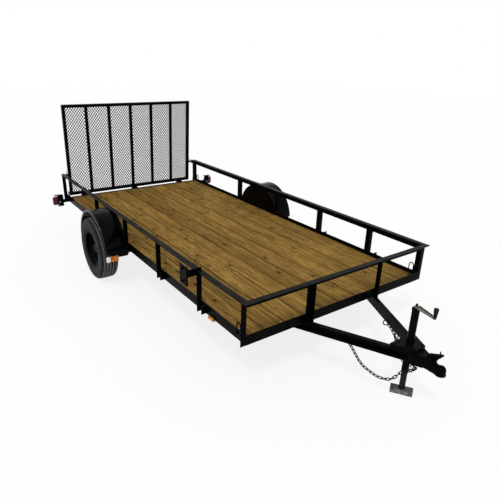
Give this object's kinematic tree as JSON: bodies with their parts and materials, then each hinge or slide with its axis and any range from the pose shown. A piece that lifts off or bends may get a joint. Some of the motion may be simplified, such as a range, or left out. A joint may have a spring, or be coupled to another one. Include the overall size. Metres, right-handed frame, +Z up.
{
  "type": "utility trailer",
  "caption": "Open single-axle utility trailer: timber deck, angle-iron rails and posts, upright mesh drop gate, round fenders, A-frame drawbar with coupler, chains and a top-crank jack.",
  "frame": {"origin": "centre of the trailer's bounding box on the ground, as it parks on its jack", "axes": "+X forward to the coupler, +Y to the left, +Z up"},
  "size_m": [5.2896, 2.52, 1.671],
  "materials": {
    "black_paint": "gloss",
    "timber": "matte",
    "tyre_rubber": "matte",
    "wheel_paint": "gloss",
    "dark_steel": "satin",
    "bare_steel": "satin",
    "grip_plastic": "matte",
    "red_lens": "gloss",
    "amber_lens": "gloss"
  },
  "bodies": {
    "trailer": {"axle": "dark_steel", "axle_clamps": "dark_steel", "chain_left": "bare_steel", "chain_right": "bare_steel", "coupler": "black_paint", "coupler_latch": "bare_steel", "crank_grip": "grip_plastic", "cross_members": "black_paint", "deck_planks": "timber", "fender_left": "black_paint", "fender_right": "black_paint", "frame_front": "black_paint", "frame_rear": "black_paint", "frame_side_left": "black_paint", "frame_side_right": "black_paint", "gate_catches": "black_paint", "gate_hinge_lugs": "black_paint", "jack_crank": "bare_steel", "jack_plate": "black_paint", "jack_tube": "black_paint", "lamp_brackets": "black_paint", "leaf_springs": "dark_steel", "posts_front": "black_paint", "posts_left": "black_paint", "posts_right": "black_paint", "rail_front": "black_paint", "rail_left": "black_paint", "rail_right": "black_paint", "side_markers": "amber_lens", "spare_carrier": "black_paint", "spring_hangers": "black_paint", "stake_pockets_left": "black_paint", "stake_pockets_right": "black_paint", "tail_lenses": "red_lens", "tie_down_loops": "black_paint", "tongue_left": "black_paint", "tongue_right": "black_paint"},
    "wheel_right": {"tyre_right": "tyre_rubber", "rim_right": "wheel_paint", "hub_right": "dark_steel"},
    "wheel_left": {"tyre_left": "tyre_rubber", "rim_left": "wheel_paint", "hub_left": "dark_steel"},
    "gate": {"gate_frame": "black_paint", "gate_hinge_barrels": "black_paint", "gate_latches": "black_paint", "gate_mesh": "black_paint"},
    "jack_foot": {"jack_leg": "bare_steel"}
  },
  "joints": [
    {"name": "wheel_right_spin", "type": "hinge", "parent": "trailer", "child": "wheel_right", "pos_m": [-0.839, -1.165, 0.338], "axis": [0, 1, 0], "continuous": true},
    {"name": "wheel_left_spin", "type": "hinge", "parent": "trailer", "child": "wheel_left", "pos_m": [-0.839, 1.165, 0.338], "axis": [0, 1, 0], "continuous": true},
    {"name": "gate_drop", "type": "hinge", "parent": "trailer", "child": "gate", "pos_m": [-2.592, 0, 0.449], "axis": [0, -1, 0], "range_deg": [0, 112]},
    {"name": "jack_slide", "type": "slide", "parent": "trailer", "child": "jack_foot", "axis": [0, 0, 1], "range_m": [0, 0.14]}
  ]
}
